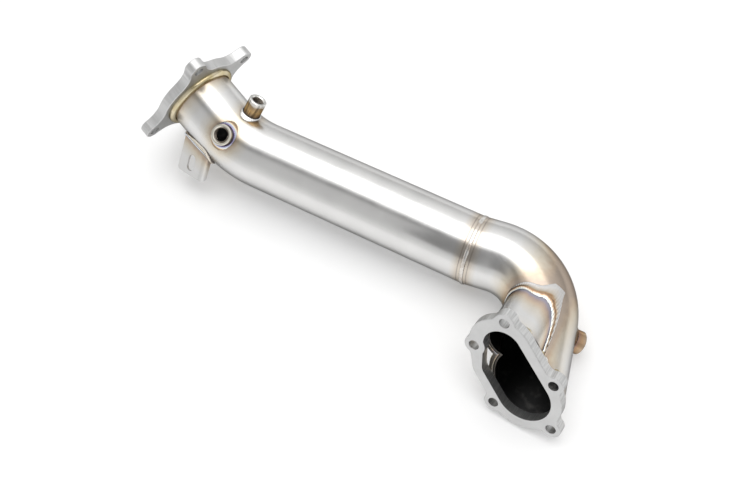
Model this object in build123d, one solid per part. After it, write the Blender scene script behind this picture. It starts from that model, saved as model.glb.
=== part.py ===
from build123d import *
import math
import os

os.makedirs("parts", exist_ok=True)

# All sizes are in millimetres and all angles in degrees.
# The pipe is laid out along its own centre line: the origin is the girth seam and
# the straight run lies along -X. At the end the whole pipe is set down on the floor.

# pipe stock
tube_outer = 76.1
tube_wall = 1.6

# straight run and the slight bend towards the outlet
main_length = 263.0
outlet_bend_radius = 127.0
outlet_bend_angle = 26.6
outlet_bend_roll = 132.7
outlet_leg = 47.0
outlet_step = 2.0

# elbow on the turbo side, which meets the run at a small mitre
seam_turn = 7.5
seam_roll = 40.7
elbow_straight = 24.6
elbow_radius = 66.8
elbow_angle = 82.3
elbow_roll = -172.2
elbow_leg = 82.0

# turbo flange, five studs, set obliquely across the end of the elbow
turbo_plate = 12.0
turbo_tilt = 31.2
turbo_tilt_roll = 124.6
turbo_spin = -42.7
turbo_land = 10.8
turbo_shoulder_shift = (-0.7, -1.9)
turbo_shoulder_land = 13.5
turbo_lug_radius = 10.4
turbo_hole = 11.0
turbo_blend = 7.0
plate_edge = 0.7

# opening of the turbo flange, drawn round three circles and notched at the second stud:
# its round end is a step smaller than the pipe's bore and its top stands off from the pipe
opening_end = (-1.6, -1.2)
opening_step = 7.55
opening_top_gap = 21.25
opening_top_rise = 6.4
opening_top_radius = 20.2
opening_corner_shift = (21.8, -23.0)
opening_corner_radius = 13.2
notch_radius = 11.7
notch_blend = 4.0

# studs of the turbo flange, each as its direction and its distance past the opening's edge,
# two round the opening's top and three round its end
turbo_top_studs = [(145.14286, 11.11932), (-109.72888, 10.60844)]
turbo_end_studs = [(-90.30315, 8.90053), (13.24827, 13.42647), (99.34467, 11.13124)]

# oval branch pipe from the top of the opening into the inside of the elbow
branch_low_radius = 22.2
branch_high_shift = (8.6, 8.8)
branch_high_radius = 23.7
branch_wall = 1.6
branch_length = 72.0
branch_lean = 7.6
branch_lean_roll = 66.7

# outlet flange, four studs on a star plate
outlet_plate = 12.0
outlet_stud_radius = 65.5
outlet_spread = 79.0
outlet_spin = 123.0
outlet_lug_radius = 10.8
outlet_waist = 50.0
outlet_blend = 28.0
outlet_hole = 11.0

# threaded bosses, each as outer, bore and height, with its place along its own bend and its roll
front_boss = (24.0, 16.5, 9.0)
front_boss_along = 40.5
front_boss_roll = 54.7
upper_boss = (20.0, 12.5, 21.0)
upper_boss_along = 38.0
upper_boss_roll = 118.9
rear_boss = (25.0, 16.5, 13.0)
rear_boss_past_bend = 2.0
rear_boss_roll = -27.6

# bracket, a folded plate hung under the outlet leg
bracket_sheet = 3.0
bracket_from_flange = 31.0
bracket_roll = -9.6
bracket_hang_roll = -52.6
bracket_lean = 24.9
bracket_twist = -8.0
bracket_left = -6.0
bracket_right = 31.0
bracket_drop = 45.0
bracket_wing = 10.0
bracket_fold = 6.0
bracket_corner = 4.0
slot_width = 10.5
slot_length = 19.5
slot_across = 11.5
slot_down = 30.0

# weld beads
girth_bead_width = 4.8
girth_bead_height = 1.0
ring_bead = 5.6
branch_bead = 4.5
plate_bead = 3.5
plate_margin = 1.3
inner_bead = 1.8
boss_bead = 3.4
bracket_bead = 3.2

tube_radius = tube_outer / 2
tube_bore = tube_radius - tube_wall


def sine(angle):
    return math.sin(math.radians(angle))


def cosine(angle):
    return math.cos(math.radians(angle))


def shifted(spot, shift):
    """A place in a flange's own plane, moved by a step."""
    return spot[0] + shift[0], spot[1] + shift[1]


def beside(spot, radius, stud):
    """The place of a stud, from the circle that it stands beside."""
    angle, past = stud
    return shifted(spot, (cosine(angle) * (radius + past), sine(angle) * (radius + past)))


def across(direction, roll):
    """A unit vector square to a direction; roll 90 is the one nearest to straight up."""
    side = Vector(0, 0, 1).cross(direction).normalized()
    rise = direction.cross(side)
    return side * cosine(roll) + rise * sine(roll)


def bent(start, direction, roll, radius, angle):
    """The place and the direction after a bend."""
    toward = across(direction, roll)
    place = start + toward * (radius * (1 - cosine(angle))) + direction * (radius * sine(angle))
    return place, direction * cosine(angle) + toward * sine(angle)


def rod(start, direction, length, radius):
    """A round bar."""
    return extrude(Plane(start, z_dir=direction) * Circle(radius), amount=length)


def bent_rod(start, direction, roll, bend_radius, angle, radius):
    """A round bar bent about one centre."""
    toward = across(direction, roll)
    centre = start + toward * bend_radius
    section = Plane(start, z_dir=direction) * Circle(radius)
    return revolve(section, Axis(centre, direction.cross(toward)), angle)


# the opening of the turbo flange and what stands round it
opening_end_radius = tube_bore - opening_step
opening_top = (-tube_radius - opening_top_gap, opening_top_rise)
opening_corner = shifted(opening_top, opening_corner_shift)
turbo_shoulder = shifted(opening_top, turbo_shoulder_shift)
branch_low = opening_top
branch_high = shifted(opening_top, branch_high_shift)
turbo_studs = [beside(opening_top, opening_top_radius, stud) for stud in turbo_top_studs]
turbo_studs += [beside(opening_end, opening_end_radius, stud) for stud in turbo_end_studs]

# the centre line
seam = Vector(0, 0, 0)
along = Vector(1, 0, 0)
back = Vector(-1, 0, 0)
bend_start = back * main_length
leg_start, leg_way = bent(bend_start, back, outlet_bend_roll, outlet_bend_radius, outlet_bend_angle)
outlet_end = leg_start + leg_way * outlet_leg

elbow_way = along * cosine(seam_turn) + across(along, seam_roll) * sine(seam_turn)
elbow_start = elbow_way * elbow_straight
elbow_end, turbo_way = bent(elbow_start, elbow_way, elbow_roll, elbow_radius, elbow_angle)
turbo_centre = elbow_end + turbo_way * elbow_leg
turbo_out = turbo_way * cosine(turbo_tilt) + across(turbo_way, turbo_tilt_roll) * sine(turbo_tilt)
turbo_long = across(turbo_out, turbo_spin)
turbo_face = Plane(turbo_centre, x_dir=turbo_long, z_dir=turbo_out)
turbo_back = turbo_face.offset(-turbo_plate)
seam_plane = Plane(seam, z_dir=(along + elbow_way).normalized())
leg_plane = Plane(outlet_end, x_dir=across(leg_way, 0), z_dir=leg_way)
branch_way = turbo_out * -cosine(branch_lean) + across(turbo_out * -1, branch_lean_roll) * sine(branch_lean)


def main_rod(radius):
    """The straight run, the outlet bend and its leg as one solid bar."""
    overlap = tube_outer * 0.2
    bar = rod(along * overlap, back, main_length + overlap, radius)
    bar += bent_rod(bend_start, back, outlet_bend_roll, outlet_bend_radius, outlet_bend_angle, radius)
    bar += rod(leg_start, leg_way, outlet_leg + outlet_plate - outlet_step, radius)
    return split(bar, seam_plane, keep=Keep.BOTTOM)


def elbow_rod(radius):
    """The elbow as one solid bar, trimmed at the seam and at the turbo flange."""
    overlap = tube_outer * 0.2
    bar = rod(elbow_way * -overlap, elbow_way, elbow_straight + overlap, radius)
    bar += bent_rod(elbow_start, elbow_way, elbow_roll, elbow_radius, elbow_angle, radius)
    bar += rod(elbow_end, turbo_way, elbow_leg + tube_outer * 0.5, radius)
    bar = split(bar, seam_plane, keep=Keep.TOP)
    return split(bar, turbo_back, keep=Keep.BOTTOM)


def tangent_points(one, two):
    """Where the outer tangent of two circles touches them, on the right of the way from one to two."""
    (x, y), radius = one
    (u, v), other = two
    reach = math.hypot(u - x, v - y)
    cut = (radius - other) / reach
    rest = math.sqrt(1 - cut * cut)
    nx = ((u - x) * cut + (v - y) * rest) / reach
    ny = ((v - y) * cut - (u - x) * rest) / reach
    return [(x + nx * radius, y + ny * radius), (u + nx * other, v + ny * other)]


def band(circles):
    """The shape of a band drawn tight round circles, which are listed anticlockwise."""
    corners = []
    for k in range(len(circles)):
        corners += tangent_points(circles[k], circles[(k + 1) % len(circles)])
    shape = make_face(Polyline(*corners, close=True))
    for (x, y), radius in circles:
        shape += Pos(x, y) * Circle(radius)
    return shape


def branch_rod(grow=0.0):
    """The branch as one solid oval bar standing on the back of the turbo flange."""
    section = band([(branch_low, branch_low_radius + grow), (branch_high, branch_high_radius + grow)])
    return extrude(turbo_back * section, amount=branch_length, dir=branch_way)


def opening_shape():
    """The long opening of the turbo flange, with its notch beside the second stud."""
    shape = band(
        [
            (opening_end, opening_end_radius),
            (opening_top, opening_top_radius),
            (opening_corner, opening_corner_radius),
        ]
    )
    x, y = turbo_studs[1]
    shape -= Pos(x, y) * Circle(notch_radius)
    shrunk = offset(shape, -notch_blend, kind=Kind.ARC)
    return offset(shrunk, notch_blend, kind=Kind.ARC)


def turbo_outline():
    """The outer shape of the turbo flange: a land round the opening and five lugs."""
    shape = band(
        [
            (opening_end, opening_end_radius + turbo_land),
            (turbo_shoulder, opening_top_radius + turbo_shoulder_land),
            (opening_corner, opening_corner_radius + turbo_land),
        ]
    )
    shape += band([(turbo_studs[0], turbo_lug_radius), (turbo_studs[1], turbo_lug_radius)])
    for x, y in turbo_studs[2:]:
        shape += Pos(x, y) * Circle(turbo_lug_radius)
    return shape


def closed(shape, radius):
    """Rounds the inner corners of an outline."""
    grown = offset(shape, radius, kind=Kind.ARC)
    return offset(grown, -radius, kind=Kind.ARC)


def outline_edges(solid, plane, limit):
    """The edges of a plate's outer outline on one of its two faces."""
    face = solid.faces().filter_by(lambda f: abs(f.normal_at().dot(plane.z_dir)) > 0.99)
    face = face.sort_by(lambda f: (f.center() - plane.origin).dot(plane.z_dir))
    return face[limit].outer_wire().edges()


def make_turbo_flange():
    body = extrude(turbo_back * closed(turbo_outline(), turbo_blend), amount=turbo_plate)
    for limit in (0, -1):
        body = chamfer(outline_edges(body, turbo_back, limit), plate_edge)
    body -= extrude(turbo_back * opening_shape(), amount=turbo_plate)
    for x, y in turbo_studs:
        body -= extrude(turbo_back * Pos(x, y) * Circle(turbo_hole / 2), amount=turbo_plate)
    return body


def outlet_stud_rolls():
    half = outlet_spread / 2
    return [outlet_spin - half, outlet_spin + half, outlet_spin - half + 180, outlet_spin + half + 180]


def outlet_outline():
    """The star outline: a round middle with four lugs that flow out of it."""
    shape = Circle(outlet_waist)
    for angle in outlet_stud_rolls():
        spot = (cosine(angle) * outlet_stud_radius, sine(angle) * outlet_stud_radius)
        shape += band([((0, 0), outlet_lug_radius), (spot, outlet_lug_radius)])
    return closed(shape, outlet_blend)


def make_outlet_flange():
    body = extrude(leg_plane * outlet_outline(), amount=outlet_plate)
    for limit in (0, -1):
        body = chamfer(outline_edges(body, leg_plane, limit), plate_edge)
    body -= rod(outlet_end, leg_way, outlet_plate, tube_radius)
    for angle in outlet_stud_rolls():
        spot = across(leg_way, angle) * outlet_stud_radius + outlet_end
        body -= rod(spot, leg_way, outlet_plate, outlet_hole / 2)
    return body


def bend_boss_place(distance, roll):
    """The foot and the way out of a boss on the outlet bend."""
    turned = math.degrees(distance / outlet_bend_radius)
    spot, way = bent(bend_start, back, outlet_bend_roll, outlet_bend_radius, turned)
    return spot, across(way, roll)


def make_boss(place, size, pipe):
    """A threaded boss saddled on the pipe, with a chamfered bore."""
    spot, way = place
    outer, bore, height = size
    top = tube_radius + height
    body = rod(spot, way, top, outer / 2)
    body = chamfer(body.edges().filter_by(GeomType.CIRCLE), 0.8)
    body -= rod(spot, way, top, bore / 2)
    body -= Solid.make_cone(bore / 2, bore / 2 + 1.2, 1.2, Plane(spot + way * (top - 1.2), z_dir=way))
    return body - pipe


def make_boss_weld(place, size, pipe):
    """A sloping bead round the foot of a boss."""
    spot, way = place
    low = tube_radius * 0.75
    high = tube_radius + boss_bead * 0.5
    inner = size[0] / 2
    foot = inner + 0.8 + (high - low) * 0.9
    cone = Solid.make_cone(foot, inner + 0.8, high - low, Plane(spot + way * low, z_dir=way))
    return cone - rod(spot, way, high + 1, inner) - pipe


def boss_bore(place, size):
    spot, way = place
    return rod(spot, way, tube_radius + 1, size[1] / 2)


def make_main_tube():
    body = main_pipe - main_rod(tube_bore)
    body -= boss_bore(front_boss_place, front_boss)
    return body - boss_bore(upper_boss_place, upper_boss)


def make_elbow():
    """The elbow, opened where the branch runs into it."""
    body = elbow_pipe - elbow_rod(tube_bore)
    body -= branch_rod(-branch_wall)
    return body - boss_bore(rear_boss_place, rear_boss)


def make_branch():
    return branch_bar - branch_rod(-branch_wall) - elbow_pipe


def make_girth_weld():
    """A low round bead over the seam between the straight run and the elbow."""
    half = girth_bead_width / 2
    curve = (girth_bead_height**2 + half**2) / (2 * girth_bead_height)
    ring = Solid.make_torus(tube_radius + girth_bead_height - curve, curve, seam_plane)
    return ring - seam_pipe


def make_outlet_weld():
    """A round fillet bead between the outlet leg and the back of its flange."""
    side = across(leg_way, 0)
    section = Plane(outlet_end, x_dir=side, z_dir=side.cross(leg_way))
    edge = tube_radius + ring_bead
    inner = Line((tube_radius, 0), (tube_radius, -ring_bead))
    flat = Line((tube_radius, 0), (edge, 0))
    middle = (tube_radius + ring_bead * 0.8, -ring_bead * 0.8)
    crown = ThreePointArc((tube_radius, -ring_bead), middle, (edge, 0))
    return revolve(section * make_face([inner, flat, crown]), Axis(outlet_end, leg_way))


def make_turbo_weld():
    """A stepped bead along both pipes where they stand on the turbo flange."""
    outline = offset(closed(turbo_outline(), turbo_blend), -plate_margin, kind=Kind.ARC)
    bead = Part()
    for wide, high in ((plate_bead, plate_bead * 0.45), (plate_bead * 0.5, plate_bead)):
        slab = extrude(turbo_back * outline, amount=-high)
        bead += slab & (elbow_rod(tube_radius + wide) + branch_rod(wide))
    return bead - elbow_pipe - branch_bar


def make_branch_weld():
    """A stepped bead along the mouth where the branch meets the elbow."""
    bead = Part()
    for wide, high in ((branch_bead, branch_bead * 0.4), (branch_bead * 0.5, branch_bead * 0.8)):
        bead += branch_rod(wide) & elbow_rod(tube_radius + high)
    return bead - elbow_pipe - branch_bar - make_turbo_weld()


def bracket_planes():
    """The bracket's own planes: one looking up its height and one on its outer face."""
    foot = outlet_end - leg_way * bracket_from_flange + across(leg_way, bracket_roll) * tube_radius
    hang = across(leg_way, bracket_hang_roll)
    down = hang * cosine(bracket_lean) - leg_way * sine(bracket_lean)
    level = leg_way * -cosine(bracket_lean) - hang * sine(bracket_lean)
    away = level.cross(down)
    wide = level * cosine(bracket_twist) + away * sine(bracket_twist)
    upward = Plane(foot, x_dir=wide, z_dir=down * -1)
    outward = Plane(foot, x_dir=wide, z_dir=wide.cross(down))
    return upward, outward


def bracket_profile(grow=0.0):
    """The folded section of the bracket, looked at along its height."""
    left = bracket_left - grow
    right = bracket_right + grow
    section = Pos((left + right) / 2, bracket_wing / 2) * Rectangle(right - left, bracket_wing + 2 * grow)
    section = fillet(fold_corner(section), bracket_fold + grow)
    edge = bracket_right - bracket_sheet - grow
    inner = bracket_sheet + grow
    if bracket_wing <= inner:
        return section
    hollow = Rectangle(edge - left, bracket_wing + grow - inner + 1, align=(Align.MAX, Align.MIN))
    hollow = Pos(edge, inner) * hollow
    hollow = fillet(fold_corner(hollow), max(bracket_fold - bracket_sheet - grow, 0.4))
    return section - hollow


def fold_corner(shape):
    """The corner of a section that lies in the fold."""
    return shape.vertices().group_by(Axis.Y)[0].sort_by(Axis.X)[-1]


def make_bracket():
    """A folded sheet with a long slot, cut to sit on the pipe."""
    upward, outward = bracket_planes()
    top = tube_radius * 0.32
    body = extrude(upward.offset(-bracket_drop) * bracket_profile(), amount=bracket_drop + top)
    low = body.edges().filter_by(lambda e: abs((e.center() - upward.origin).dot(upward.z_dir) + bracket_drop) < 0.01)
    ends = [e for e in body.edges() if e.geom_type == GeomType.LINE and e.length < bracket_sheet + 0.01]
    corners = [e for e in ends if min(e.distance_to(f) for f in low) < 0.01]
    body = fillet(corners, bracket_corner)
    slot = Pos(slot_across, slot_down) * SlotOverall(slot_length, slot_width, rotation=90)
    body -= extrude(outward * slot, amount=bracket_sheet * 2)
    return body - main_pipe


def make_bracket_weld():
    """A stepped bead along both sides of the bracket where it meets the pipe."""
    upward, outward = bracket_planes()
    bead = Part()
    for wide, high in ((bracket_bead, bracket_bead * 0.45), (bracket_bead * 0.5, bracket_bead)):
        slab = extrude(upward.offset(-bracket_drop) * bracket_profile(wide), amount=bracket_drop)
        bead += slab & main_rod(tube_radius + high)
    return bead - main_pipe - make_bracket()


def make_turbo_inner_weld():
    """A thin bead inside the pipes along the back of the turbo flange."""
    slab = extrude(turbo_back * turbo_outline(), amount=-inner_bead)
    bores = elbow_rod(tube_bore) + branch_rod(-branch_wall)
    return slab & (bores - elbow_rod(tube_bore - inner_bead) - branch_rod(-branch_wall - inner_bead))


def all_parts():
    """Every piece of the pipe by name, still in the frame of the centre line."""
    return {
        "outlet_flange": make_outlet_flange(),
        "outlet_flange_weld": make_outlet_weld(),
        "main_tube": make_main_tube(),
        "girth_weld": make_girth_weld(),
        "turbo_elbow": make_elbow(),
        "branch_pipe": make_branch(),
        "branch_weld": make_branch_weld(),
        "turbo_flange": make_turbo_flange(),
        "turbo_flange_weld": make_turbo_weld(),
        "turbo_inner_weld": make_turbo_inner_weld(),
        "front_boss": make_boss(front_boss_place, front_boss, main_pipe),
        "front_boss_weld": make_boss_weld(front_boss_place, front_boss, main_pipe),
        "upper_boss": make_boss(upper_boss_place, upper_boss, main_pipe),
        "upper_boss_weld": make_boss_weld(upper_boss_place, upper_boss, main_pipe),
        "rear_boss": make_boss(rear_boss_place, rear_boss, elbow_pipe),
        "rear_boss_weld": make_boss_weld(rear_boss_place, rear_boss, elbow_pipe),
        "bracket": make_bracket(),
        "bracket_weld": make_bracket_weld(),
    }


def surface_points(shape):
    """Points on the surface of a piece."""
    return shape.tessellate(0.05, 0.1)[0]


def lowest(points, up):
    return min(points, key=lambda p: p.dot(up))


def floor_place(parts):
    """Sets the pipe on the three pieces it comes to rest on, with its run along X."""
    feet = [surface_points(parts[name]) for name in ("outlet_flange", "girth_weld", "turbo_flange")]
    up = Vector(0, 0, 1)
    for _ in range(20):
        one, two, three = [lowest(points, up) for points in feet]
        normal = (two - one).cross(three - one).normalized()
        up = normal if normal.Z > 0 else normal * -1
    level = (along - up * along.dot(up)).normalized()
    turned = Plane(Vector(0, 0, 0), x_dir=level, z_dir=up).location.inverse()
    box = Compound([turned * shape for shape in parts.values()]).bounding_box()
    drop = Vector(-(box.min.X + box.max.X) / 2, -(box.min.Y + box.max.Y) / 2, -box.min.Z)
    return Location(drop) * turned


front_boss_place = bend_boss_place(front_boss_along, front_boss_roll)
upper_boss_place = bend_boss_place(upper_boss_along, upper_boss_roll)
rear_boss_place = (elbow_end + turbo_way * rear_boss_past_bend, across(turbo_way, rear_boss_roll))
main_pipe = main_rod(tube_radius)
elbow_pipe = elbow_rod(tube_radius)
seam_pipe = main_pipe + elbow_pipe
branch_bar = branch_rod()
pieces = all_parts()
place = floor_place(pieces)
for name, shape in pieces.items():
    export_step(place * shape, "parts/" + name + ".step")
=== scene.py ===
import math

import bpy
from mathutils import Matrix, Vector


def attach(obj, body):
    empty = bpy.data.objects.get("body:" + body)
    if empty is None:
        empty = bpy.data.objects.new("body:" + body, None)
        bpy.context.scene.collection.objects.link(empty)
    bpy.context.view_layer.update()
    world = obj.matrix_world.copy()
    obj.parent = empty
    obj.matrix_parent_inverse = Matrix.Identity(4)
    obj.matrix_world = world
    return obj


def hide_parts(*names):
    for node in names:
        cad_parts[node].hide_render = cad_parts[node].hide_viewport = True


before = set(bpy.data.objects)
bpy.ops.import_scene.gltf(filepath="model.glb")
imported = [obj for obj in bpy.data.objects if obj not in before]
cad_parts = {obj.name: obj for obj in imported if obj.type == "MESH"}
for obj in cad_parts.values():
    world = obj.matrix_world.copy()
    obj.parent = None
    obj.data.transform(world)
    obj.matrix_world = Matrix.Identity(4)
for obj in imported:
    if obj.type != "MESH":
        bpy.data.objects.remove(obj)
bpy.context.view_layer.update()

bl_info = {
    "name": "Turbo downpipe",
    "version": (1, 1, 0),
    "blender": (4, 5, 0),
    "location": "View3D > Sidebar > Downpipe",
    "description": "Finishes a stainless turbo downpipe and sets it on a white studio floor",
    "category": "Object",
}

MM = 0.001
same_place = 0.01 * MM

# The pipe's own lines, in millimetres, as the frame holds them
tube_radius = 38.05
plate = 12.0
seam = Vector((120.95, 22.40, 39.06))
seam_way = Vector((0.9985, 0.05426, 0.00707))
run_way = Vector((0.99956, 0.0, -0.02949))
bend_start = Vector((-141.94, 22.40, 46.81))
bend_centre = Vector((-139.50, 118.91, 129.33))
bend_axis = Vector((-0.02241, 0.65001, -0.75959))
bend_radius = 127.0
leg_start = Vector((-198.52, 32.61, 57.22))
leg_way = Vector((-0.88518, 0.34026, 0.31729))
outlet_end = Vector((-240.12, 48.61, 72.14))
elbow_way = Vector((0.99316, 0.10828, 0.04361))
elbow_start = Vector((145.38, 25.06, 40.13))
elbow_centre = Vector((152.68, -41.32, 38.68))
elbow_axis = Vector((0.04099, 0.02627, -0.99881))
elbow_radius = 66.8
elbow_end = Vector((217.45, -25.26, 41.76))
turbo_way = Vector((0.24139, -0.97030, -0.01561))
turbo_centre = Vector((237.24, -104.82, 40.48))
turbo_out = Vector((-0.05315, -0.90167, 0.42914))
bracket_foot = Vector((-226.77, 2.74, 60.87))
bracket_wide = Vector((0.98161, -0.16896, 0.08881))

# steel reflects less at a glancing angle
rim_tint = (0.3, 0.3, 0.3, 1.0)

# painted shade in the bores, a darker and a paler tone
bore_shade_dark = (0.028, 0.028, 0.028)
bore_shade_pale = (0.07, 0.068, 0.066)

# the branch: the two circles of its oval foot, the step between them, and its way for each mm off the plate
branch_slim = Vector((200.93, -72.12, 76.73))
branch_slim_radius = 22.2
branch_step = Vector((12.29, -0.58, 0.31))
branch_wide_radius = 23.7
branch_rise = Vector((0.00643, 0.95757, -0.31729))

# mean radius of the bead's path round the branch, and half the width of each kind of bead
branch_path = 26.0
branch_bead_half = 5.2
boss_bead_half = 2.2
plate_bead_half = 1.6

# how far a bead's foot lies outside the edge that it runs along, where its heat colours start
outlet_bead_foot = 4.0
branch_bead_foot = 3.0
boss_bead_foot = 2.0

# the bead behind the outlet flange: how far its round section is centred off the corner, its radius,
# the turn of its face in radians, how much it swells and narrows, and its ripples' pitch and height
outlet_bead_offset = 1.31
outlet_bead_radius = 4.35
outlet_bead_facing = 2.36
outlet_bead_swell = 0.22
outlet_bead_pitch = 2.5
outlet_bead_ripple = 0.3

# the girth weld: half its width, its height over the tube, its depth below it, and its ripples
girth_half = 2.2
girth_crown = 0.85
girth_root = 0.5
girth_pitch = 1.45
girth_ripple = 0.12

# half the width of the groove along a bead's middle, as a share of the bead
groove_half = 0.3

# how matt the welds and the bosses are, and how much more matt the bracket is than the tube
weld_roughness = 0.24
boss_roughness = 0.2
bracket_rougher = 0.08

# how far below a boss's rim its thread starts
boss_chamfer = 1.4

# each boss: a point of its axis on the pipe's centre line, its way out, outer, bore, height
BOSSES = {
    "front_boss": (Vector((-181.61, 27.26, 52.15)), Vector((0.08258, -0.50733, 0.85778)), 24.0, 16.5, 9.0),
    "upper_boss": (Vector((-179.25, 26.69, 51.58)), Vector((0.30800, 0.53186, 0.78883)), 20.0, 12.5, 21.0),
    "rear_boss": (Vector((217.93, -27.20, 41.73)), Vector((0.83090, 0.21496, -0.51322)), 25.0, 16.5, 13.0),
}


class Value:
    """A shader socket that takes part in Python sums."""

    def __init__(self, tree, socket):
        self.tree = tree
        self.socket = socket

    def sum(self, operation, one, other=0.0):
        return self.tree.add("ShaderNodeMath", {"operation": operation}, {0: one, 1: other})

    def __add__(self, other):
        return self.sum("ADD", self, other)

    def __sub__(self, other):
        return self.sum("SUBTRACT", self, other)

    def __rsub__(self, other):
        return self.sum("SUBTRACT", other, self)

    def __mul__(self, other):
        return self.sum("MULTIPLY", self, other)

    def __truediv__(self, other):
        return self.sum("DIVIDE", self, other)

    def __pow__(self, other):
        return self.sum("POWER", self, other)

    def __abs__(self):
        return self.sum("ABSOLUTE", self)

    __radd__ = __add__
    __rmul__ = __mul__


class Tree:
    """A node tree, with the sums that its patterns are written in."""

    def __init__(self, owner):
        owner.use_nodes = True
        self.nodes = owner.node_tree.nodes
        self.links = owner.node_tree.links
        self.nodes.clear()

    def add(self, kind, settings=None, values=None, output=0):
        """One node: its settings are set first, and then the values or links of its sockets."""
        node = self.nodes.new(kind)
        for name, setting in (settings or {}).items():
            if name == "stops":
                self.set_stops(node.color_ramp, setting)
            else:
                setattr(node, name, setting)
        for name, value in (values or {}).items():
            if isinstance(value, Value):
                self.links.new(value.socket, node.inputs[name])
            else:
                node.inputs[name].default_value = value
        return Value(self, node.outputs[output]) if node.outputs else node

    def set_stops(self, ramp, stops):
        while len(ramp.elements) < len(stops):
            ramp.elements.new(0.5)
        for element, (place, color) in zip(ramp.elements, stops):
            element.position = place
            element.color = (*color, 1.0)

    def place(self):
        """The object's own coordinates, in millimetres."""
        spot = self.add("ShaderNodeTexCoord", output="Object")
        return self.vector("SCALE", spot, scale=1 / MM)

    def vector(self, operation, one, other=(0, 0, 0), output="Vector", scale=1.0):
        values = {0: one, "Scale": scale} if operation == "SCALE" else {0: one, 1: other}
        return self.add("ShaderNodeVectorMath", {"operation": operation}, values, output)

    def along(self, spot, start, way):
        """How far a place lies from a plane."""
        return self.vector("DOT_PRODUCT", self.vector("SUBTRACT", spot, start), way, "Value")

    def from_axis(self, spot, start, way):
        """How far a place lies from a straight line."""
        offset = self.vector("SUBTRACT", spot, start)
        return self.vector("LENGTH", self.vector("CROSS_PRODUCT", offset, way), output="Value")

    def from_ring(self, spot, centre, way, radius):
        """How far a place lies from a circle."""
        rise = self.along(spot, centre, way)
        reach = self.from_axis(spot, centre, way) - radius
        return (rise * rise + reach * reach) ** 0.5

    def from_pipe(self, spot, first, ring, last):
        """How far a place lies from a centre line of a straight, a bend and a straight."""
        before = self.smooth(self.along(spot, *first), -0.01, 0.01, 1.0, 0.0)
        after = self.smooth(self.along(spot, *last), -0.01, 0.01)
        straights = before * self.from_axis(spot, *first) + after * self.from_axis(spot, *last)
        return straights + (1 - before - after) * self.from_ring(spot, *ring)

    def from_run(self, spot):
        ring = (bend_centre, bend_axis, bend_radius)
        return self.from_pipe(spot, (bend_start, -run_way), ring, (leg_start, leg_way))

    def from_elbow(self, spot):
        ring = (elbow_centre, elbow_axis, elbow_radius)
        return self.from_pipe(spot, (elbow_start, elbow_way), ring, (elbow_end, turbo_way))

    def from_branch(self, spot):
        """How far a place lies outside the leaning oval of the branch."""
        rise = self.along(spot, branch_slim, -turbo_out)
        offset = self.vector("SUBTRACT", spot, branch_slim)
        offset = self.vector("SUBTRACT", offset, self.vector("SCALE", branch_rise, scale=rise))
        part = self.vector("DOT_PRODUCT", offset, branch_step, "Value") / branch_step.length_squared
        part = self.add("ShaderNodeClamp", {}, {"Value": part})
        near = self.vector("SUBTRACT", offset, self.vector("SCALE", branch_step, scale=part))
        radius = branch_slim_radius + (branch_wide_radius - branch_slim_radius) * part
        return self.vector("LENGTH", near, output="Value") - radius

    def smooth(self, value, low, high, start=0.0, end=1.0):
        """Turns a value into a soft step."""
        return self.add(
            "ShaderNodeMapRange",
            {"interpolation_type": "SMOOTHSTEP"},
            {"Value": value, "From Min": low, "From Max": high, "To Min": start, "To Max": end},
        )

    def noise(self, spot, scale, detail, roughness=0.5):
        values = {"Vector": spot, "Scale": scale, "Detail": detail, "Roughness": roughness}
        return self.add("ShaderNodeTexNoise", {}, values)

    def ramp(self, value, stops):
        return self.add("ShaderNodeValToRGB", {"stops": stops}, {"Fac": value})

    def mix(self, factor, one, other, blend="MIX"):
        """A blend of two colours."""
        colors = {"Factor": factor}
        for name, color in (("A", one), ("B", other)):
            colors[name] = color if isinstance(color, Value) else (*color, 1.0)
        node = self.nodes.new("ShaderNodeMix")
        node.data_type = "RGBA"
        node.blend_type = blend
        sockets = {s.name: s for s in node.inputs if s.enabled}
        for name, value in colors.items():
            if isinstance(value, Value):
                self.links.new(value.socket, sockets[name])
            else:
                sockets[name].default_value = value
        return Value(self, next(s for s in node.outputs if s.enabled))

    def attribute(self, name):
        """A number that the piece's own mesh holds."""
        return self.add("ShaderNodeAttribute", {"attribute_name": name}, output="Fac")

    def bumped(self, height, distance):
        """A normal with a relief that is so many millimetres high."""
        values = {"Height": height, "Distance": distance * MM, "Strength": 1.0}
        return self.add("ShaderNodeBump", {}, values)

    def metal(self, color, roughness, normal=None):
        """The shader of every steel surface, joined to the output."""
        values = {"Base Color": color, "Roughness": roughness, "Metallic": 1.0, "Specular Tint": rim_tint}
        if normal:
            values["Normal"] = normal
        skin = self.add("ShaderNodeBsdfPrincipled", {}, values)
        self.add("ShaderNodeOutputMaterial", {}, {"Surface": skin})


# heat colours, from the weld outwards, as factors of the bare steel
STRAW = [
    (0.0, (0.50, 0.38, 0.28)),
    (0.12, (0.66, 0.50, 0.34)),
    (0.3, (0.86, 0.76, 0.60)),
    (0.6, (0.96, 0.92, 0.85)),
    (1.0, (1.0, 1.0, 1.0)),
]
BLUE_TO_STRAW = [
    (0.0, (0.26, 0.29, 0.42)),
    (0.12, (0.36, 0.30, 0.42)),
    (0.22, (0.58, 0.38, 0.28)),
    (0.36, (0.82, 0.60, 0.38)),
    (0.6, (0.95, 0.86, 0.72)),
    (1.0, (1.0, 1.0, 1.0)),
]
SEAM_LINES = [
    (0.0, (0.80, 0.70, 0.58)),
    (0.30, (0.86, 0.76, 0.64)),
    (0.36, (0.40, 0.33, 0.28)),
    (0.42, (0.84, 0.74, 0.62)),
    (0.70, (0.96, 0.91, 0.85)),
    (1.0, (1.0, 1.0, 1.0)),
]


def halo(tree, shade, distance, stops, reach, strength):
    """Heat colours that fade with the distance from a weld and end at its reach."""
    return tree.mix(strength, shade, tree.ramp(distance / reach, stops), "MULTIPLY")


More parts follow.
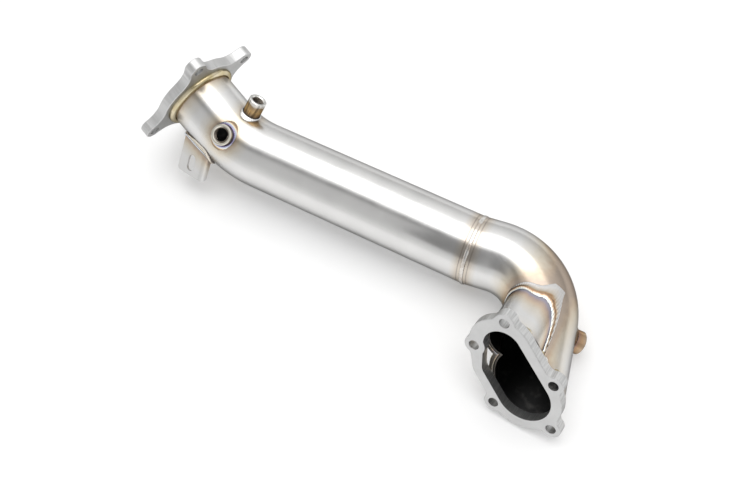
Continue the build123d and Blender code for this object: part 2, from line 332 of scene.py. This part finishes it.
def tube_steel(name, color, roughness, heat, wall=None):
    """Satin tube: soft clouds, a fine grain, heat colours, and a dull bore with painted shade."""
    material = bpy.data.materials.new(name)
    tree = Tree(material)
    spot = tree.place()
    cloud = tree.noise(spot, 0.03, 4.0)
    fine = tree.noise(spot, 1.3, 2.0)
    shade = tree.mix(tree.smooth(cloud, 0.3, 0.7), [c * 0.94 for c in color], color)
    wander = (tree.noise(spot, 0.16, 3.0) - 0.5) * 5.0
    shade = heat(tree, spot, shade, wander)
    rough = tree.smooth(cloud, 0.25, 0.75, roughness - 0.03, roughness + 0.03) + (fine - 0.5) * 0.06
    if wall:
        # painted shade: the inner half of the wall gets a near-black colour, mottled between two dark tones
        inside = wall(tree, spot)
        painted_bore_shade = tree.smooth(tree.noise(spot, 0.09, 3.0), 0.5, 0.75)
        shade = tree.mix(inside, shade, tree.mix(painted_bore_shade, bore_shade_dark, bore_shade_pale))
        rough = rough + inside * 0.25
    tree.metal(shade, rough, tree.bumped(tree.noise(spot, 0.35, 2.0), 0.02))
    return material


def bore_mask(tree, outside):
    """1 on the inner half of a wall, and 0 on its outer face. Outside is the distance from that face."""
    return tree.smooth(outside, -0.9, -0.7, 1.0, 0.0)


def run_wall(tree, spot):
    return bore_mask(tree, tree.from_run(spot) - tube_radius)


def elbow_wall(tree, spot):
    return bore_mask(tree, tree.from_elbow(spot) - tube_radius)


def branch_wall(tree, spot):
    return bore_mask(tree, tree.from_branch(spot))


def plate_distance(tree, spot):
    """How far a place lies behind the turbo flange."""
    return 0 - tree.along(spot, turbo_centre, turbo_out) - plate


def boss_distance(tree, spot, name):
    """How far a place lies outside a boss."""
    start, way, outer = BOSSES[name][:3]
    return tree.from_axis(spot, start, way) - outer / 2


def seam_heat(tree, spot, shade):
    """Straw colour and a thin dark line on each side of the girth weld."""
    away = abs(tree.along(spot, seam, seam_way))
    return halo(tree, shade, away, SEAM_LINES, reach=15.0, strength=0.8)


def boss_heat(tree, spot, shade, wander, name, reach, strength):
    """Straw colour round the weld of a boss."""
    away = boss_distance(tree, spot, name) - boss_bead_foot + wander
    return halo(tree, shade, away, STRAW, reach, strength)


def run_heat(tree, spot, shade, wander):
    """Heat colours of the run: at the girth weld, the outlet and two bosses."""
    shade = seam_heat(tree, spot, shade)
    away = abs(tree.along(spot, outlet_end, leg_way)) - outlet_bead_foot + wander
    shade = halo(tree, shade, away, STRAW, reach=22.0, strength=0.75)
    shade = boss_heat(tree, spot, shade, wander, "front_boss", reach=19.0, strength=0.8)
    return boss_heat(tree, spot, shade, wander, "upper_boss", reach=12.0, strength=0.5)


def elbow_heat(tree, spot, shade, wander):
    """Heat colours of the elbow: at the girth weld, the branch, the rear boss and the turbo flange."""
    shade = seam_heat(tree, spot, shade)
    away = tree.from_branch(spot) - branch_bead_foot + wander
    shade = halo(tree, shade, away, STRAW, reach=24.0, strength=0.8)
    shade = boss_heat(tree, spot, shade, wander, "rear_boss", reach=14.0, strength=0.7)
    return halo(tree, shade, plate_distance(tree, spot) + wander, STRAW, reach=20.0, strength=0.35)


def branch_heat(tree, spot, shade, wander):
    """Heat colours of the branch: blue beside the elbow, and straw behind the turbo flange."""
    away = tree.from_elbow(spot) - tube_radius - branch_bead_foot + wander * 0.3
    shade = halo(tree, shade, away, BLUE_TO_STRAW, reach=11.0, strength=0.7)
    return halo(tree, shade, plate_distance(tree, spot) + wander, STRAW, reach=16.0, strength=0.3)


def bracket_heat(tree, spot, shade, wander):
    """Straw colour below the bracket's weld, whose foot lies as far out as the branch's."""
    away = tree.from_axis(spot, leg_start, leg_way) - tube_radius
    return halo(tree, shade, away - branch_bead_foot + wander, STRAW, reach=16.0, strength=0.8)


def dress(node, material):
    """Gives a CAD node its material."""
    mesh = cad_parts[node].data
    mesh.materials.clear()
    mesh.materials.append(material)


def plate_steel(name, color, roughness, way):
    """Flat cut plate: an even grey face, and fine cut lines across its edges."""
    material = bpy.data.materials.new(name)
    tree = Tree(material)
    spot = tree.place()
    normal = tree.add("ShaderNodeNewGeometry", output="Normal")
    face = tree.smooth(abs(tree.vector("DOT_PRODUCT", normal, way, "Value")), 0.6, 0.9)
    level = tree.along(spot, (0, 0, 0), way)
    flat = tree.vector("SUBTRACT", spot, tree.vector("SCALE", tuple(way), scale=level * 0.96))
    cuts = tree.noise(flat, 1.1, 2.0)
    cloud = tree.noise(spot, 0.06, 5.0, 0.6)
    dust = tree.noise(spot, 1.6, 2.0)
    shade = tree.mix(tree.smooth(cloud, 0.3, 0.7), [c * 0.93 for c in color], color)
    dull, bright = [c * 0.86 for c in color], [min(1.0, c * 1.12) for c in color]
    edge = tree.mix(tree.smooth(cuts, 0.35, 0.65), dull, bright)
    shade = tree.mix(face, edge, shade)
    rough = roughness + (dust - 0.5) * 0.12 + (1 - face) * 0.04
    height = tree.mix(face, cuts, dust)
    tree.metal(shade, rough, tree.bumped(height, 0.03))
    return material


def boss_steel(name, color, roughness, bands, reach):
    """Turned steel whose heat colours change with the distance below its rim, and whose bore has painted
    shade that deepens below the rim.
    """
    start, way, _, bore, height = BOSSES[name]
    material = bpy.data.materials.new(name)
    tree = Tree(material)
    spot = tree.place()
    depth = tube_radius + height - tree.along(spot, start, way)
    around = tree.noise(spot, 0.12, 2.0)
    tint = tree.ramp((depth + (around - 0.5) * 5) / reach, bands)
    shade = tree.mix(1.0, color, tint, "MULTIPLY")
    # painted shade: inside the bore the colour turns near black from 1 to 6 mm below the rim
    bored = tree.smooth(tree.from_axis(spot, start, way), bore / 2 + 0.05, bore / 2 + 0.5, 1.0, 0.0)
    bore_shade_depth = tree.smooth(depth, 1.0, 6.0)
    shade = tree.mix(bored * bore_shade_depth, shade, (0.10, 0.085, 0.075))
    tree.metal(shade, roughness + (around - 0.5) * 0.1)
    return material


def coin(run, side, pitch, bow):
    """The height of one ripple of a bead, from 0 to 1, bowed back at the bead's sides."""
    part = (run / pitch + bow * side * side) % 1.0
    return math.sqrt(max(0.0, 1.0 - (2.0 * part - 1.0) ** 2))


def note(piece, name, values):
    """Keeps one number for each vertex, which the piece's material reads."""
    layer = piece.data.attributes.new(name, "FLOAT", "POINT")
    layer.data.foreach_set("value", values)


def hand_over(piece, node, material):
    """Puts a new bead in the place of a CAD bead."""
    piece.data.materials.clear()
    piece.data.materials.append(material)
    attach(piece, "root")
    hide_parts(node)


def alone(piece):
    """Selects one piece and nothing else."""
    bpy.ops.object.select_all(action="DESELECT")
    piece.select_set(True)
    bpy.context.view_layer.objects.active = piece


def ring_bead(name, centre, way, radius, section, turns, shape):
    """A bead laid round a pipe: a torus whose section a shape function redraws."""
    bpy.ops.object.select_all(action="DESELECT")
    bpy.ops.mesh.primitive_torus_add(
        location=centre * MM,
        rotation=way.to_track_quat("Z", "Y").to_euler(),
        major_radius=radius * MM,
        minor_radius=section * MM,
        major_segments=turns,
        minor_segments=16,
    )
    piece = bpy.context.object
    piece.name = name
    bpy.ops.object.transform_apply(location=True, rotation=True, scale=True)
    side = way.orthogonal().normalized()
    other = way.cross(side)
    sides = []
    for vertex in piece.data.vertices:
        offset = vertex.co / MM - centre
        angle = math.atan2(offset.dot(other), offset.dot(side))
        rise = offset.dot(way)
        reach = (offset - way * rise).length
        out = side * math.cos(angle) + other * math.sin(angle)
        turn = math.atan2(reach - radius, rise)
        rise, reach, across = shape(angle * radius, turn)
        vertex.co = (centre + way * rise + out * reach) * MM
        sides.append(across)
    note(piece, "side", sides)
    bpy.ops.object.shade_smooth()
    return piece


def cad_bead(node, name, voxel, rounds):
    """A copy of a CAD bead, merged, meshed evenly and rounded off."""
    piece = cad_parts[node].copy()
    piece.data = piece.data.copy()
    piece.name = name
    bpy.context.scene.collection.objects.link(piece)
    alone(piece)
    bpy.ops.mesh.customdata_custom_splitnormals_clear()
    bpy.ops.object.mode_set(mode="EDIT")
    bpy.ops.mesh.select_all(action="SELECT")
    bpy.ops.mesh.remove_doubles(threshold=same_place)
    bpy.ops.object.mode_set(mode="OBJECT")
    even = piece.modifiers.new("even", "REMESH")
    even.mode = "VOXEL"
    even.voxel_size = voxel * MM
    bpy.ops.object.modifier_apply(modifier="even")
    soft = piece.modifiers.new("soft", "SMOOTH")
    soft.factor = 0.5
    soft.iterations = rounds
    bpy.ops.object.modifier_apply(modifier="soft")
    return piece


def ripple_bead(piece, measure, height, pitch, bow=0.5, groove=0.0):
    """Raises a bead's ripples. measure gives a place's distance along the bead and across it."""
    sides, moves = [], []
    for vertex in piece.data.vertices:
        run, side = measure(vertex.co / MM)
        lift = height * (coin(run, side, pitch, bow) - 0.5) - groove * math.exp(-((side / groove_half) ** 2))
        moves.append(vertex.normal * lift * MM)
        sides.append(side)
    for vertex, move in zip(piece.data.vertices, moves):
        vertex.co = vertex.co + move
    note(piece, "side", sides)
    alone(piece)
    bpy.ops.object.shade_smooth()


def weld_skin(tree, spot, shade, roughness):
    """The shader that every bead shares: a fine grain in its roughness and relief."""
    fine = tree.noise(spot, 1.1, 3.0)
    tree.metal(shade, roughness + (fine - 0.5) * 0.16, tree.bumped(fine, 0.06))


def bead_steel(name, crown, flank, rim, roughness=weld_roughness, patches=0.10):
    """Weld metal: two colours that drift along the bead, and a dark line at its sides."""
    material = bpy.data.materials.new(name)
    tree = Tree(material)
    spot = tree.place()
    side = abs(tree.attribute("side"))
    drift = tree.noise(spot, patches, 3.0)
    shade = tree.mix(tree.smooth(drift, 0.35, 0.65), crown, flank)
    shade = tree.mix(tree.smooth(side + (drift - 0.5) * 0.3, 0.8, 1.0), shade, rim)
    weld_skin(tree, spot, shade, roughness)
    return material


def band_steel(name, stops):
    """Weld metal whose heat colours change across the bead."""
    material = bpy.data.materials.new(name)
    tree = Tree(material)
    spot = tree.place()
    drift = tree.noise(spot, 0.14, 3.0)
    across = tree.attribute("side") * 0.5 + 0.5 + (drift - 0.5) * 0.22
    weld_skin(tree, spot, tree.ramp(across, stops), weld_roughness)
    return material


def elbow_distance(spot):
    """How far a place lies outside the elbow's tube."""
    if (spot - elbow_start).dot(elbow_way) < 0:
        offset = spot - elbow_start
        return offset.cross(elbow_way).length - tube_radius
    if (spot - elbow_end).dot(turbo_way) > 0:
        offset = spot - elbow_end
        return offset.cross(turbo_way).length - tube_radius
    offset = spot - elbow_centre
    rise = offset.dot(elbow_axis)
    reach = (offset - elbow_axis * rise).length - elbow_radius
    return math.hypot(rise, reach) - tube_radius


def branch_measures(spot):
    """How far a place lies outside the branch, and the angle at which it stands round it."""
    offset = spot - branch_slim - branch_rise * (branch_slim - spot).dot(turbo_out)
    part = min(1.0, max(0.0, offset.dot(branch_step) / branch_step.length_squared))
    radius = branch_slim_radius + (branch_wide_radius - branch_slim_radius) * part
    middle = offset - branch_step / 2
    side = turbo_out.orthogonal().normalized()
    angle = math.atan2(middle.dot(turbo_out.cross(side)), middle.dot(side))
    return (offset - branch_step * part).length - radius, angle


def branch_seam(spot):
    """Along and across the bead where the branch meets the elbow; plus is the elbow's side."""
    off_branch, angle = branch_measures(spot)
    across = (off_branch - elbow_distance(spot)) / branch_bead_half
    return angle * branch_path, max(-1.0, min(1.0, across))


def boss_seam(name):
    """Along and across the bead round the foot of a boss."""
    start, way, outer = BOSSES[name][:3]
    side = way.orthogonal().normalized()
    other = way.cross(side)

    def measure(spot):
        offset = spot - start
        angle = math.atan2(offset.dot(other), offset.dot(side))
        gap = offset.cross(way).length - outer / 2
        return angle * outer / 2, max(-1.0, min(1.0, gap / boss_bead_half - 1.0))

    return measure


def plate_seam(spot):
    """Along and across the bead behind the turbo flange."""
    off_branch, angle = branch_measures(spot)
    across = ((turbo_centre - spot).dot(turbo_out) - plate) / plate_bead_half - 1.0
    if off_branch < elbow_distance(spot):
        return angle * branch_path, across
    offset = spot - turbo_centre
    side = turbo_out.orthogonal().normalized()
    angle = math.atan2(offset.dot(turbo_out.cross(side)), offset.dot(side))
    return angle * tube_radius, across


def bracket_seam(spot):
    """Along and across the bead on the bracket, which is as wide as a boss's."""
    offset = spot - leg_start
    off_leg = offset.cross(leg_way).length - tube_radius
    return (spot - bracket_foot).dot(bracket_wide), min(1.0, off_leg / boss_bead_half - 1.0)


def thread_ridge(name, boss, pitch, depth, length):
    """A helical ridge inside a boss: a small triangle turned along the boss's axis."""
    start, way, _, bore, height = BOSSES[boss]
    bpy.ops.object.select_all(action="DESELECT")
    bpy.ops.mesh.primitive_circle_add(vertices=3, radius=pitch * 0.5 * MM, rotation=(math.pi / 2, 0, 0))
    piece = bpy.context.object
    piece.name = name
    bpy.ops.object.transform_apply(location=True, rotation=True, scale=True)
    root = bore / 2 + 0.02
    corners = [(root, 0.0), (bore / 2 - depth, pitch * 0.45), (root, pitch * 0.9)]
    for vertex, (reach, rise) in zip(piece.data.vertices, corners):
        vertex.co = Vector((reach, 0.0, rise)) * MM
    wind = piece.modifiers.new("wind", "SCREW")
    wind.axis = "Z"
    wind.angle = 2 * math.pi
    wind.screw_offset = pitch * MM
    wind.iterations = int(length / pitch)
    wind.steps = wind.render_steps = 40
    bpy.ops.object.modifier_apply(modifier="wind")
    foot = tube_radius + height - boss_chamfer - length
    piece.rotation_euler = way.to_track_quat("Z", "Y").to_euler()
    piece.location = (start + way * foot) * MM
    bpy.ops.object.transform_apply(location=True, rotation=True, scale=True)
    bpy.ops.object.mode_set(mode="EDIT")
    bpy.ops.mesh.select_all(action="SELECT")
    bpy.ops.mesh.remove_doubles(threshold=same_place)
    bpy.ops.mesh.fill_holes(sides=3)
    bpy.ops.mesh.normals_make_consistent(inside=False)
    bpy.ops.object.mode_set(mode="OBJECT")
    return piece


class PipeLook(bpy.types.PropertyGroup):
    steel: bpy.props.FloatVectorProperty(
        name="Steel",
        description="Colour of the bare tube",
        subtype="COLOR",
        size=3,
        default=(0.75, 0.745, 0.735),
    )
    satin: bpy.props.FloatProperty(
        name="Satin", description="Roughness of the tube", default=0.24, min=0.05, max=0.8
    )
    plate: bpy.props.FloatVectorProperty(
        name="Plate",
        description="Colour of the cut plates",
        subtype="COLOR",
        size=3,
        default=(0.64, 0.64, 0.635),
    )
    matt: bpy.props.FloatProperty(
        name="Matt", description="Roughness of the cut plates", default=0.42, min=0.05, max=0.8
    )


class WeldLook(bpy.types.PropertyGroup):
    gold: bpy.props.FloatVectorProperty(
        name="Gold",
        description="Straw gold of the ring weld",
        subtype="COLOR",
        size=3,
        default=(0.56, 0.47, 0.27),
    )
    silver: bpy.props.FloatVectorProperty(
        name="Silver",
        description="Bright weld metal",
        subtype="COLOR",
        size=3,
        default=(0.82, 0.80, 0.77),
    )
    dark: bpy.props.FloatVectorProperty(
        name="Dark",
        description="Line at the foot of a bead",
        subtype="COLOR",
        size=3,
        default=(0.10, 0.09, 0.08),
    )
    fine: bpy.props.FloatProperty(
        name="Fine", description="Mesh size of the beads, in metres", subtype="DISTANCE", default=0.00036
    )


class StageLook(bpy.types.PropertyGroup):
    lens: bpy.props.FloatProperty(name="Lens", description="Focal length", default=50.0, unit="CAMERA")
    camera_place: bpy.props.FloatVectorProperty(
        name="Camera",
        description="Where the camera stands",
        subtype="TRANSLATION",
        size=3,
        default=(0.32098, -0.4342, 1.00692),
    )
    camera_turn: bpy.props.FloatVectorProperty(
        name="Turn",
        description="How the camera is turned",
        subtype="EULER",
        size=3,
        default=[math.radians(a) for a in (27.714, 4.43, 28.495)],
    )
    lamp_place: bpy.props.FloatVectorProperty(
        name="Lamp",
        description="Where the soft lamp hangs",
        subtype="TRANSLATION",
        size=3,
        default=(0.05, 0.35, 1.5),
    )
    lamp_power: bpy.props.FloatProperty(
        name="Power", description="Power of the soft lamp", default=9.0, unit="POWER"
    )
    room: bpy.props.FloatProperty(name="Room", description="Brightness of the room's light", default=0.93)
    card_place: bpy.props.FloatVectorProperty(
        name="Card",
        description="Where the card stands that only reflections see",
        subtype="TRANSLATION",
        size=3,
        default=(0.075, -0.185, 0.33),
    )
    card_turn: bpy.props.FloatVectorProperty(
        name="Card turn",
        description="How that card is turned",
        subtype="EULER",
        size=3,
        default=[math.radians(a) for a in (90, 0, -35)],
    )
    floor: bpy.props.FloatProperty(name="Floor", description="Size of the floor", default=12.0, unit="LENGTH")


class DOWNPIPE_OT_tubes(bpy.types.Operator):
    """Finish the run, the elbow and the branch"""

    bl_idname = "downpipe.tubes"
    bl_label = "Tubes"

    def execute(self, context):
        look = context.scene.pipe_look
        finishes = {
            "main_tube": (run_heat, run_wall),
            "turbo_elbow": (elbow_heat, elbow_wall),
            "branch_pipe": (branch_heat, branch_wall),
        }
        for node, (heat, wall) in finishes.items():
            dress(node, tube_steel(node, look.steel, look.satin, heat, wall))
        return {"FINISHED"}


class DOWNPIPE_OT_plates(bpy.types.Operator):
    """Finish the two flange plates and the bracket"""

    bl_idname = "downpipe.plates"
    bl_label = "Plates"

    def execute(self, context):
        look = context.scene.pipe_look
        dress("outlet_flange", plate_steel("outlet_plate", look.plate, look.matt, leg_way))
        dress("turbo_flange", plate_steel("turbo_plate", look.plate, look.matt, turbo_out))
        dress("bracket", tube_steel("bracket_sheet", look.steel, look.satin + bracket_rougher, bracket_heat))
        return {"FINISHED"}


# heat colours down each boss, from its rim to its foot
BOSS_BANDS = {
    "front_boss": [
        (0.0, (1.0, 0.96, 0.86)),
        (0.5, (0.95, 0.88, 0.72)),
        (0.8, (0.6, 0.5, 0.42)),
        (1.0, (0.32, 0.28, 0.34)),
    ],
    "upper_boss": [
        (0.0, (1.0, 1.0, 0.98)),
        (0.16, (0.9, 0.86, 0.8)),
        (0.26, (0.42, 0.30, 0.18)),
        (0.5, (0.62, 0.42, 0.20)),
        (0.75, (0.40, 0.28, 0.16)),
        (0.9, (0.16, 0.15, 0.15)),
    ],
    "rear_boss": [
        (0.0, (0.62, 0.5, 0.38)),
        (0.4, (0.6, 0.40, 0.24)),
        (0.7, (0.45, 0.28, 0.2)),
        (0.9, (0.12, 0.16, 0.26)),
    ],
}

# each thread's pitch, depth and length
THREADS = {
    "front_boss": (1.5, 0.75, 7.5),
    "upper_boss": (1.25, 0.6, 18.0),
    "rear_boss": (1.5, 0.75, 11.0),
}


class DOWNPIPE_OT_bosses(bpy.types.Operator):
    """Finish the three bosses and thread them"""

    bl_idname = "downpipe.bosses"
    bl_label = "Bosses"

    def execute(self, context):
        look = context.scene.pipe_look
        for name, bands in BOSS_BANDS.items():
            height = BOSSES[name][4]
            dress(name, boss_steel(name, look.steel, boss_roughness, bands, height + 1))
        for boss, sizes in THREADS.items():
            name = boss + "_thread"
            ridge = thread_ridge(name, boss, *sizes)
            steel = bead_steel(name, (0.5, 0.45, 0.4), (0.3, 0.26, 0.22), (0.4, 0.36, 0.3))
            ridge.data.materials.append(steel)
            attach(ridge, "root")
        return {"FINISHED"}


class DOWNPIPE_OT_ring_welds(bpy.types.Operator):
    """Lay the girth bead and the bead behind the outlet flange"""

    bl_idname = "downpipe.ring_welds"
    bl_label = "Ring welds"

    def execute(self, context):
        look = context.scene.weld_look

        def girth(run, turn):
            across, high = math.cos(turn), math.sin(turn)
            if high > 0:
                lift = girth_crown * high + girth_ripple * coin(run, across, girth_pitch, 0.5)
            else:
                lift = girth_root * high
            return girth_half * across, tube_radius + lift, across

        def outlet(run, turn):
            facing = turn - outlet_bead_facing
            ripple = outlet_bead_ripple * (coin(run, math.sin(facing), outlet_bead_pitch, 0.6) - 0.5)
            swell = outlet_bead_radius + outlet_bead_swell * math.sin(run / 17.0) + ripple
            rise = min(0.5, swell * math.cos(turn) - outlet_bead_offset)
            reach = max(-0.5, outlet_bead_offset + swell * math.sin(turn))
            return rise, tube_radius + reach, math.cos(facing) - 1.0

        piece = ring_bead("girth_bead", seam, seam_way, tube_radius, section=1.0, turns=960, shape=girth)
        steel = bead_steel("girth_bead", look.silver, (0.62, 0.55, 0.48), (0.36, 0.30, 0.26))
        hand_over(piece, "girth_weld", steel)
        radius = tube_radius + outlet_bead_offset
        section = outlet_bead_radius
        piece = ring_bead("outlet_bead", outlet_end, leg_way, radius, section, turns=800, shape=outlet)
        straw = (0.7, 0.62, 0.45)
        steel = bead_steel("outlet_bead", look.gold, straw, look.dark, roughness=0.2, patches=0.05)
        hand_over(piece, "outlet_flange_weld", steel)
        return {"FINISHED"}


# heat colours across the fillet beads
BRANCH_BANDS = [
    (0.0, (0.10, 0.13, 0.22)),
    (0.10, (0.28, 0.34, 0.44)),
    (0.18, (0.64, 0.68, 0.68)),
    (0.26, (0.66, 0.62, 0.54)),
    (0.31, (0.50, 0.33, 0.20)),
    (0.35, (0.20, 0.13, 0.09)),
    (0.39, (0.54, 0.35, 0.20)),
    (0.46, (0.66, 0.58, 0.48)),
    (0.62, (0.68, 0.67, 0.66)),
    (0.88, (0.62, 0.60, 0.57)),
    (1.0, (0.30, 0.25, 0.21)),
]
BOSS_WELD_BANDS = {
    "front_boss": [
        (0.0, (0.08, 0.09, 0.16)),
        (0.25, (0.30, 0.25, 0.42)),
        (0.45, (0.55, 0.62, 0.72)),
        (0.65, (0.86, 0.84, 0.80)),
        (0.85, (0.74, 0.52, 0.30)),
        (1.0, (0.34, 0.26, 0.18)),
    ],
    "upper_boss": [
        (0.0, (0.2, 0.2, 0.22)),
        (0.3, (0.85, 0.86, 0.86)),
        (0.8, (0.86, 0.85, 0.82)),
        (1.0, (0.3, 0.26, 0.2)),
    ],
    "rear_boss": [
        (0.0, (0.08, 0.1, 0.18)),
        (0.4, (0.3, 0.2, 0.16)),
        (0.8, (0.5, 0.34, 0.2)),
        (1.0, (0.3, 0.22, 0.16)),
    ],
}
BRACKET_BANDS = [
    (0.0, (0.22, 0.19, 0.17)),
    (0.12, (0.80, 0.74, 0.66)),
    (0.40, (0.86, 0.80, 0.68)),
    (0.50, (0.20, 0.18, 0.16)),
    (0.60, (0.78, 0.83, 0.90)),
    (0.85, (0.84, 0.88, 0.94)),
    (1.0, (0.30, 0.26, 0.26)),
]


class DOWNPIPE_OT_fillet_welds(bpy.types.Operator):
    """Lay the beads of the branch, the turbo flange, the bosses and the bracket"""

    bl_idname = "downpipe.fillet_welds"
    bl_label = "Fillet welds"

    def execute(self, context):
        look = context.scene.weld_look
        voxel = look.fine / MM
        piece = cad_bead("branch_weld", "branch_bead", voxel, rounds=14)
        ripple_bead(piece, branch_seam, height=0.3, pitch=2.3, bow=0.7, groove=0.7)
        hand_over(piece, "branch_weld", band_steel("branch_bead", BRANCH_BANDS))
        for name in BOSSES:
            piece = cad_bead(name + "_weld", name + "_bead", voxel, rounds=10)
            ripple_bead(piece, boss_seam(name), height=0.28, pitch=2.0)
            hand_over(piece, name + "_weld", band_steel(name + "_bead", BOSS_WELD_BANDS[name]))
        piece = cad_bead("turbo_flange_weld", "turbo_bead", voxel, rounds=10)
        ripple_bead(piece, plate_seam, height=0.25, pitch=2.0)
        hand_over(piece, "turbo_flange_weld", bead_steel("turbo_bead", look.silver, look.gold, look.dark))
        piece = cad_bead("turbo_inner_weld", "inner_bead", voxel, rounds=6)
        ripple_bead(piece, plate_seam, height=0.25, pitch=2.0)
        # painted shade: the bead inside the turbo opening gets near-black colours
        painted_bore_shade = bead_steel("inner_bead", (0.16, 0.155, 0.15), (0.06, 0.058, 0.055), look.dark)
        hand_over(piece, "turbo_inner_weld", painted_bore_shade)
        piece = cad_bead("bracket_weld", "bracket_bead", voxel, rounds=12)
        ripple_bead(piece, bracket_seam, height=0.3, pitch=2.4)
        hand_over(piece, "bracket_weld", band_steel("bracket_bead", BRACKET_BANDS))
        return {"FINISHED"}


# the stage: the soft lamp's and the card's size in metres, and how pale the card and the floor are
lamp_size = (1.7, 1.3)
card_size = (0.13, 0.38)
card_grey = 0.27
floor_white = 0.86
floor_lift = 0.16

# the room's dark gap: where it lies from the near side, -1, to the far side, 1, and how dark it is
gap_place = -0.36
gap_grey = 0.24


def add_lamp(name, place, target, size, energy):
    """A soft square lamp that looks at a target."""
    data = bpy.data.lights.new(name, "AREA")
    data.shape = "RECTANGLE"
    data.size, data.size_y = size
    data.energy = energy
    lamp = bpy.data.objects.new(name, data)
    lamp.location = place
    lamp.rotation_euler = (Vector(target) - Vector(place)).to_track_quat("-Z", "Y").to_euler()
    bpy.context.scene.collection.objects.link(lamp)


def grey(level):
    return (level, level, level)


def grey_stops(*stops):
    return [(place, grey(level)) for place, level in stops]


def world_light(world, strength):
    """Studio: a bright canopy on the far side, duller walls on the near side and a dark gap overhead."""
    tree = Tree(world)
    way = tree.add("ShaderNodeTexCoord", output="Generated")
    depth = tree.vector("DOT_PRODUCT", way, (0, 1, 0), "Value")
    rise = tree.vector("DOT_PRODUCT", way, (0, 0, 1), "Value")
    canopy = grey_stops((0.0, 0.62), (0.1, 0.70), (0.26, 0.84), (0.42, 0.98), (0.6, 1.10), (0.85, 1.2))
    walls = grey_stops((0.0, 0.98), (0.15, 0.86), (0.4, 0.70), (0.7, 0.66))
    gap = tree.smooth(abs(depth - gap_place), 0.02, 0.17, 1.0, 0.0) * tree.smooth(rise, 0.4, 0.75)
    near = tree.mix(gap, tree.ramp(rise, walls), grey(gap_grey))
    color = tree.mix(tree.smooth(depth, -0.29, -0.12), near, tree.ramp(rise, canopy))
    back = tree.add("ShaderNodeBackground", {}, {"Color": color, "Strength": strength})
    tree.add("ShaderNodeOutputWorld", {}, {"Surface": back})


def black_flag(place, turn):
    """A grey card beside the elbow, which shows only as a reflection in the steel."""
    bpy.ops.object.select_all(action="DESELECT")
    bpy.ops.mesh.primitive_grid_add(
        x_subdivisions=2, y_subdivisions=2, size=1.0, location=place, rotation=turn
    )
    flag = bpy.context.object
    flag.name = "black_flag"
    flag.scale = (*card_size, 1.0)
    bpy.ops.object.transform_apply(location=True, rotation=True, scale=True)
    material = bpy.data.materials.new("black_flag")
    tree = Tree(material)
    cloth = tree.add("ShaderNodeBsdfDiffuse", {}, {"Color": (*grey(card_grey), 1.0)})
    tree.add("ShaderNodeOutputMaterial", {}, {"Surface": cloth})
    flag.data.materials.append(material)
    for ray in ("camera", "diffuse", "transmission", "volume_scatter", "shadow"):
        setattr(flag, "visible_" + ray, False)


def floor_paper():
    """White paper that keeps the shadow; what the camera and reflections see of it is lifted to white."""
    material = bpy.data.materials.new("floor_paper")
    tree = Tree(material)
    seen = tree.add("ShaderNodeLightPath", output="Is Camera Ray")
    gloss = tree.add("ShaderNodeLightPath", output="Is Glossy Ray")
    clear = tree.add("ShaderNodeLightPath", output="Is Transmission Ray")
    paper = tree.add("ShaderNodeBsdfDiffuse", {}, {"Color": (*grey(floor_white), 1.0)})
    lift = (seen + gloss + clear) * floor_lift
    glow = tree.add("ShaderNodeEmission", {}, {"Color": (1, 1, 1, 1), "Strength": lift})
    both = tree.add("ShaderNodeAddShader", {}, {0: paper, 1: glow})
    tree.add("ShaderNodeOutputMaterial", {}, {"Surface": both})
    return material


class DOWNPIPE_OT_stage(bpy.types.Operator):
    """Add the floor, the lamp, the room, the card and the camera"""

    bl_idname = "downpipe.stage"
    bl_label = "Stage"

    def execute(self, context):
        look = context.scene.stage_look
        bpy.ops.object.select_all(action="DESELECT")
        bpy.ops.mesh.primitive_plane_add(size=look.floor, location=(0, 0, 0))
        floor = context.object
        floor.name = "studio_floor"
        floor.data.materials.append(floor_paper())
        add_lamp("softbox", look.lamp_place, (0, 0, 0), lamp_size, look.lamp_power)
        world = bpy.data.worlds.new("studio")
        context.scene.world = world
        world_light(world, look.room)
        black_flag(look.card_place, look.card_turn)
        data = bpy.data.cameras.new("camera")
        data.lens = look.lens
        data.sensor_width = 36.0
        data.clip_start = 0.01
        camera = bpy.data.objects.new("camera", data)
        camera.location = look.camera_place
        camera.rotation_euler = look.camera_turn
        context.scene.collection.objects.link(camera)
        context.scene.camera = camera
        context.scene.view_settings.view_transform = "Standard"
        return {"FINISHED"}


class DOWNPIPE_PT_panel(bpy.types.Panel):
    bl_label = "Downpipe"
    bl_space_type = "VIEW_3D"
    bl_region_type = "UI"
    bl_category = "Downpipe"

    def draw(self, context):
        for operator in OPERATORS:
            self.layout.operator(operator.bl_idname)


OPERATORS = (
    DOWNPIPE_OT_tubes,
    DOWNPIPE_OT_plates,
    DOWNPIPE_OT_bosses,
    DOWNPIPE_OT_ring_welds,
    DOWNPIPE_OT_fillet_welds,
    DOWNPIPE_OT_stage,
)
CLASSES = (PipeLook, WeldLook, StageLook, *OPERATORS, DOWNPIPE_PT_panel)


def register():
    for made in CLASSES:
        bpy.utils.register_class(made)
    bpy.types.Scene.pipe_look = bpy.props.PointerProperty(type=PipeLook)
    bpy.types.Scene.weld_look = bpy.props.PointerProperty(type=WeldLook)
    bpy.types.Scene.stage_look = bpy.props.PointerProperty(type=StageLook)


def unregister():
    del bpy.types.Scene.pipe_look
    del bpy.types.Scene.weld_look
    del bpy.types.Scene.stage_look
    for made in reversed(CLASSES):
        bpy.utils.unregister_class(made)


def main():
    register()
    bpy.ops.downpipe.tubes()
    bpy.ops.downpipe.plates()
    bpy.ops.downpipe.bosses()
    bpy.ops.downpipe.ring_welds()
    bpy.ops.downpipe.fillet_welds()
    bpy.ops.downpipe.stage()


if __name__ == "__main__":
    main()
